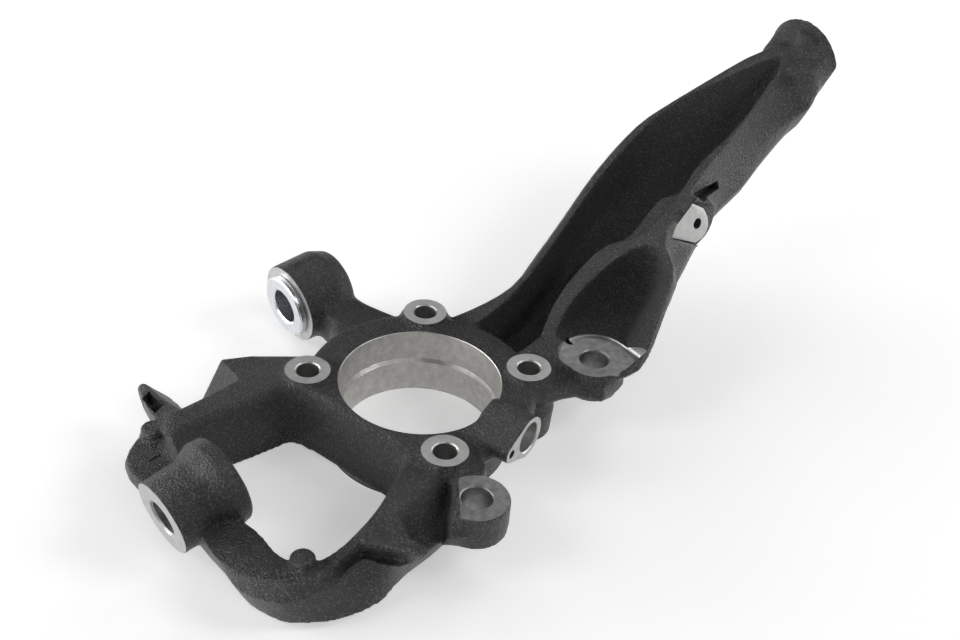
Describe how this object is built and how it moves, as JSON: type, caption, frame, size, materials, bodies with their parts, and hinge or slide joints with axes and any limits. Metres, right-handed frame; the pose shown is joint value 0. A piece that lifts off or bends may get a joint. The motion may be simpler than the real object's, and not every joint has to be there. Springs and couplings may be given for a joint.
{
  "type": "steering knuckle",
  "caption": "Cast steering knuckle with a bored hub ring, a tall channel-section upper arm, a closed lower loop, a steering arm with a plated bush and caliper lugs.",
  "frame": {"origin": "on the hub bore's axis, in the plane of the hub mounting face", "axes": "+Z along the hub axis towards the inboard side, +Y up the arm, +X towards the caliper lugs and the sensor boss"},
  "size_m": [0.2378, 0.5223, 0.1553],
  "materials": {
    "coated_cast_iron": "black semi-gloss coating over sand-cast grain; bores, spot-faces and end faces bare and turned",
    "zinc_steel": "bright zinc plating, turned"
  },
  "bodies": {
    "root": {"knuckle_casting": "coated_cast_iron", "tie_rod_bush": "zinc_steel"}
  },
  "joints": []
}
